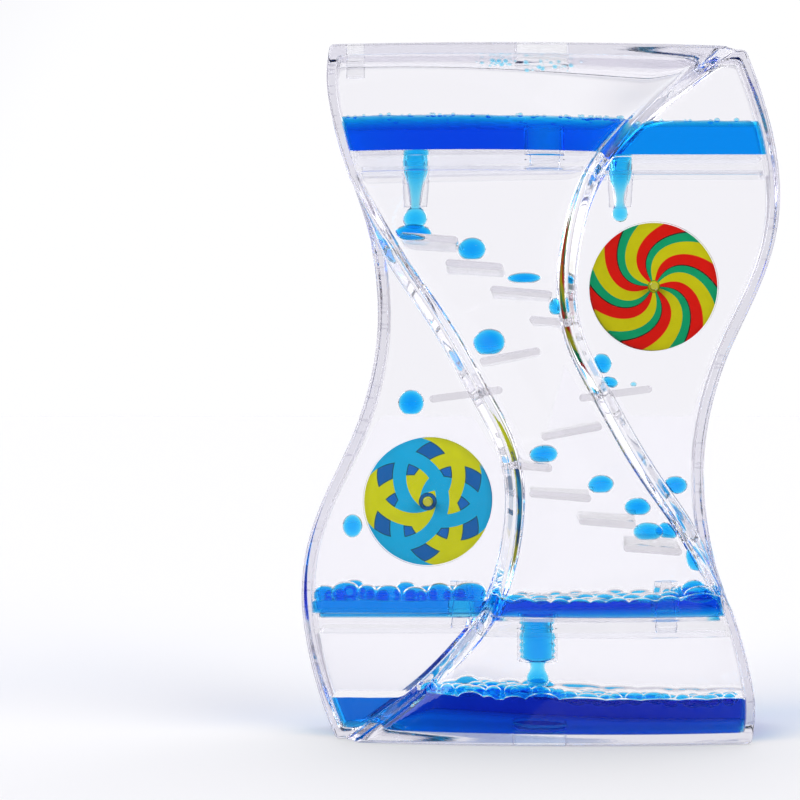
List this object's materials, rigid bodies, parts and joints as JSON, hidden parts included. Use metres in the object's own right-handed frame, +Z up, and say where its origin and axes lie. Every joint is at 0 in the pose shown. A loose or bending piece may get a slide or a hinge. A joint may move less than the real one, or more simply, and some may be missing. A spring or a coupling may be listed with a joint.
{
  "type": "liquid motion timer",
  "caption": "Sealed clear hourglass case with flat wings, drip nozzles, ramps and free paddle wheels, part filled with blue liquid.",
  "frame": {"origin": "middle of the bottom face", "axes": "+Z up, +X to the right seen from the front, -Y is the front"},
  "size_m": [0.1042, 0.0355, 0.15],
  "materials": {
    "clear_case": "polished clear polystyrene",
    "clear_plug": "clear, lightly frosted by glue",
    "clear_shelf": "clear moulded",
    "clear_ramp": "clear moulded, rounded ends",
    "clear_wheel": "clear moulded",
    "pin": "satin",
    "arc_print": "glossy printed film, cyan, yellow-green and dark blue",
    "swirl_print": "glossy printed film, yellow, red and green swirl",
    "blue_liquid": "clear dyed water",
    "clear_oil": "clear mineral oil"
  },
  "bodies": {
    "case": {"front_shell": "clear_case", "rear_shell": "clear_case", "top_plug": "clear_plug", "bottom_plug": "clear_plug", "filler_plug": "clear_plug", "upper_shelf": "clear_shelf", "lower_shelf": "clear_shelf", "ramp_01": "clear_ramp", "ramp_02": "clear_ramp", "ramp_03": "clear_ramp", "ramp_04": "clear_ramp", "ramp_05": "clear_ramp", "ramp_06": "clear_ramp", "ramp_07": "clear_ramp", "ramp_08": "clear_ramp", "ramp_09": "clear_ramp", "ramp_10": "clear_ramp", "ramp_11": "clear_ramp", "ramp_12": "clear_ramp", "left_axle_pin": "pin", "right_axle_pin": "pin", "upper_liquid": "blue_liquid", "shelf_liquid": "blue_liquid", "settled_drops": "blue_liquid", "bottom_liquid": "blue_liquid", "ramp_stream": "blue_liquid", "wheel_stream": "blue_liquid", "return_stream": "blue_liquid", "ramp_drops": "blue_liquid", "wheel_drop": "blue_liquid", "upper_oil": "clear_oil", "middle_oil": "clear_oil", "lower_oil": "clear_oil"},
    "left_wheel": {"left_wheel": "clear_wheel", "left_front_print": "arc_print", "left_rear_print": "arc_print"},
    "right_wheel": {"right_wheel": "clear_wheel", "right_front_print": "swirl_print", "right_rear_print": "swirl_print"}
  },
  "joints": [
    {"name": "left_wheel_spin", "type": "hinge", "parent": "case", "child": "left_wheel", "pos_m": [-0.0247, 0, 0.0515], "axis": [0, 1, 0], "continuous": true},
    {"name": "right_wheel_spin", "type": "hinge", "parent": "case", "child": "right_wheel", "pos_m": [0.0247, 0, 0.0985], "axis": [0, 1, 0], "continuous": true}
  ]
}
